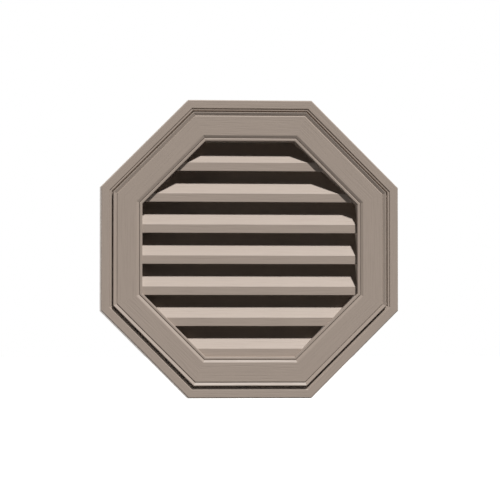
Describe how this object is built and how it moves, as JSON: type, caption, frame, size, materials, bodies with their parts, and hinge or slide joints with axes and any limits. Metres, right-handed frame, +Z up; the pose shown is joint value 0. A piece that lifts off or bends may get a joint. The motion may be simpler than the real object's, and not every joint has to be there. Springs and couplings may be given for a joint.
{
  "type": "gable vent",
  "caption": "Eight-sided louvred gable vent with a push-on trim ring over a nailing flange and an insect screen behind the fixed blades.",
  "frame": {"origin": "middle of the octagon, in the wall plane on which the nailing flange rests", "axes": "+X to the right as seen from outside, +Z up, +Y into the wall; the louvres look along -Y"},
  "size_m": [0.5588, 0.0548, 0.5588],
  "materials": {
    "body_plastic": "fine-textured satin, clay colour through and through",
    "ring_plastic": "fine-textured satin, clay colour through and through",
    "screen_mesh": "aluminium wire mesh, coated charcoal"
  },
  "bodies": {
    "root": {"louvre_body": "body_plastic", "trim_ring": "ring_plastic", "insect_screen": "screen_mesh"}
  },
  "joints": []
}
